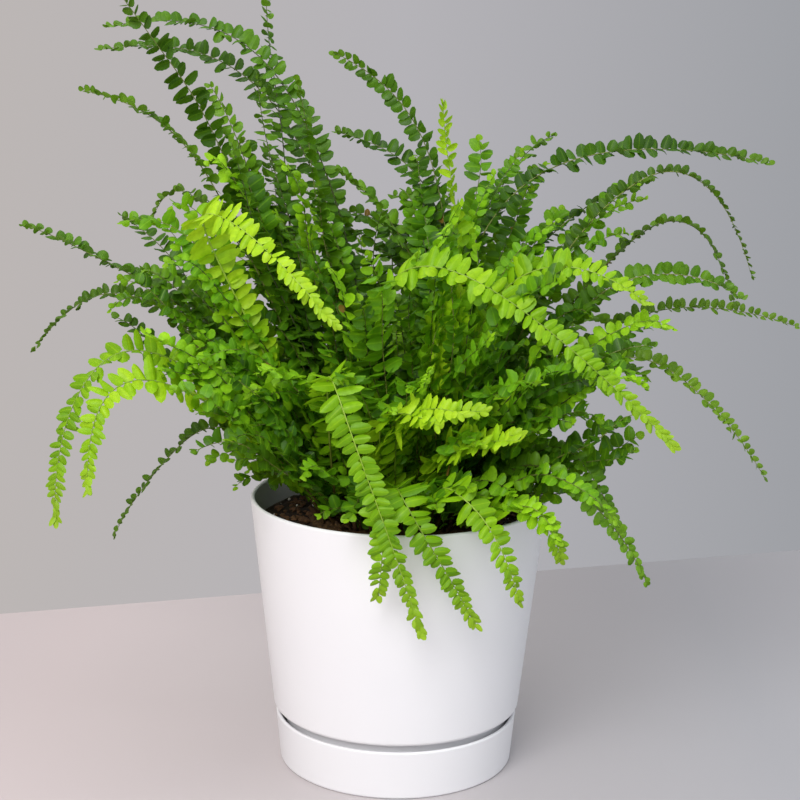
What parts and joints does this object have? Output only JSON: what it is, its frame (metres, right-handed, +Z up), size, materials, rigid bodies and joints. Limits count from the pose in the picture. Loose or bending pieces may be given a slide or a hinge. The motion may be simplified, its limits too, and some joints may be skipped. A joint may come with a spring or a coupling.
{
  "type": "potted fern",
  "caption": "Small-leaved arching fern growing in a tapered round white pot that stands in a close-fitting saucer and lifts out of it.",
  "frame": {"origin": "middle of the saucer's flat underside", "axes": "+Z up, +X to the right and -Y to the front, as the plant is seen from its front"},
  "size_m": [0.3912, 0.2769, 0.3903],
  "materials": {
    "white_plastic": "satin white moulded plastic",
    "potting_mix": "matte, crumbly black-brown peat and bark",
    "root_ball": "matte, fibrous brown",
    "woody_crown": "matte, scaly brown-green stubs",
    "mature_leaf": "satin dark green leaflets",
    "young_leaf": "satin lime green leaflets",
    "thin_frond_leaf": "satin mid green small leaflets on a wiry rib",
    "shaded_leaf": "satin deep green leaflets inside the clump"
  },
  "bodies": {
    "saucer": {"saucer": "white_plastic"},
    "potted_fern": {"pot": "white_plastic", "potting_mix": "potting_mix", "root_ball": "root_ball", "crown": "woody_crown", "mature_frond_01": "mature_leaf", "mature_frond_02": "mature_leaf", "mature_frond_03": "mature_leaf", "mature_frond_04": "mature_leaf", "mature_frond_05": "mature_leaf", "thin_frond_06": "thin_frond_leaf", "mature_frond_07": "mature_leaf", "thin_frond_08": "thin_frond_leaf", "mature_frond_09": "mature_leaf", "mature_frond_10": "mature_leaf", "young_frond_11": "young_leaf", "young_frond_12": "young_leaf", "thin_frond_13": "thin_frond_leaf", "young_frond_14": "young_leaf", "young_frond_15": "young_leaf", "young_frond_16": "young_leaf", "young_frond_17": "young_leaf", "young_frond_18": "young_leaf", "young_frond_19": "young_leaf", "young_frond_20": "young_leaf", "young_frond_21": "young_leaf", "mature_frond_22": "mature_leaf", "mature_frond_23": "mature_leaf", "young_frond_24": "young_leaf", "mature_frond_25": "mature_leaf", "mature_frond_26": "mature_leaf", "mature_frond_27": "mature_leaf", "thin_frond_28": "thin_frond_leaf", "thin_frond_29": "thin_frond_leaf", "mature_frond_30": "mature_leaf", "thin_frond_31": "thin_frond_leaf", "thin_frond_32": "thin_frond_leaf", "mature_frond_33": "mature_leaf", "mature_frond_34": "mature_leaf", "mature_frond_35": "mature_leaf", "young_frond_36": "young_leaf", "young_frond_37": "young_leaf", "mature_frond_38": "mature_leaf", "mature_frond_39": "mature_leaf", "mature_frond_40": "mature_leaf", "mature_frond_41": "mature_leaf", "mature_frond_42": "mature_leaf", "young_frond_43": "young_leaf", "mature_frond_44": "mature_leaf", "mature_frond_45": "mature_leaf", "mature_frond_46": "mature_leaf", "mature_frond_47": "mature_leaf", "mature_frond_48": "mature_leaf", "mature_frond_49": "mature_leaf", "young_frond_50": "young_leaf", "mature_frond_51": "mature_leaf", "thin_frond_52": "thin_frond_leaf", "inner_fronds": "shaded_leaf", "middle_fronds": "shaded_leaf", "low_fronds": "shaded_leaf"}
  },
  "joints": [
    {"name": "pot_lift", "type": "slide", "parent": "saucer", "child": "potted_fern", "axis": [0, 0, 1], "range_m": [0, 0.06]}
  ]
}
